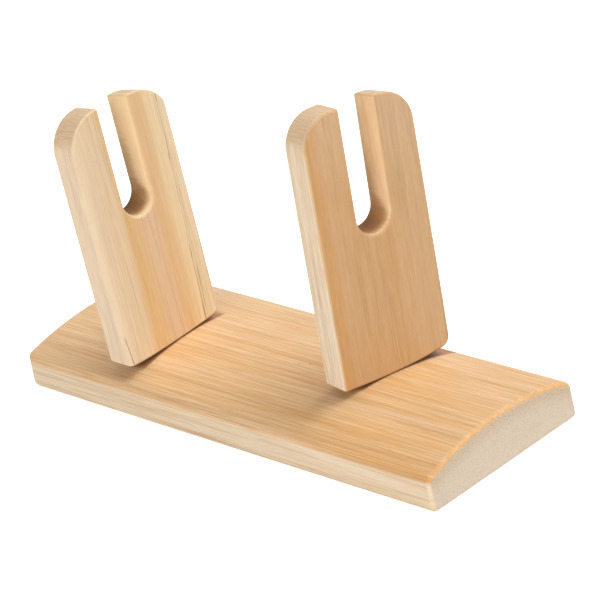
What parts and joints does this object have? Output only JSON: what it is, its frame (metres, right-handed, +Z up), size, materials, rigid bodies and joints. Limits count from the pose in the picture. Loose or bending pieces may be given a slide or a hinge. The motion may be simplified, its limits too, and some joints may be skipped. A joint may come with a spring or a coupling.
{
  "type": "eyeglass display rack",
  "caption": "Small bamboo rack: a long base with an arched top carries two upright planks, each with a U-shaped slot open at the top to hold what lies across it.",
  "frame": {"origin": "centre of the base's flat underside", "axes": "+X along the base to its right-hand end, +Y to the back, +Z up"},
  "size_m": [0.16, 0.0552, 0.089],
  "materials": {
    "base_bamboo": "sanded bamboo, matt, fine grain along the length",
    "left_upright_bamboo": "sanded bamboo, matt, pale with orange bands up the plank",
    "right_upright_bamboo": "sanded bamboo, matt, tan face with pale edges",
    "dowel_bamboo": "plain turned bamboo"
  },
  "bodies": {
    "root": {"base": "base_bamboo", "left_upright": "left_upright_bamboo", "right_upright": "right_upright_bamboo", "left_dowel": "dowel_bamboo", "right_dowel": "dowel_bamboo"}
  },
  "joints": []
}
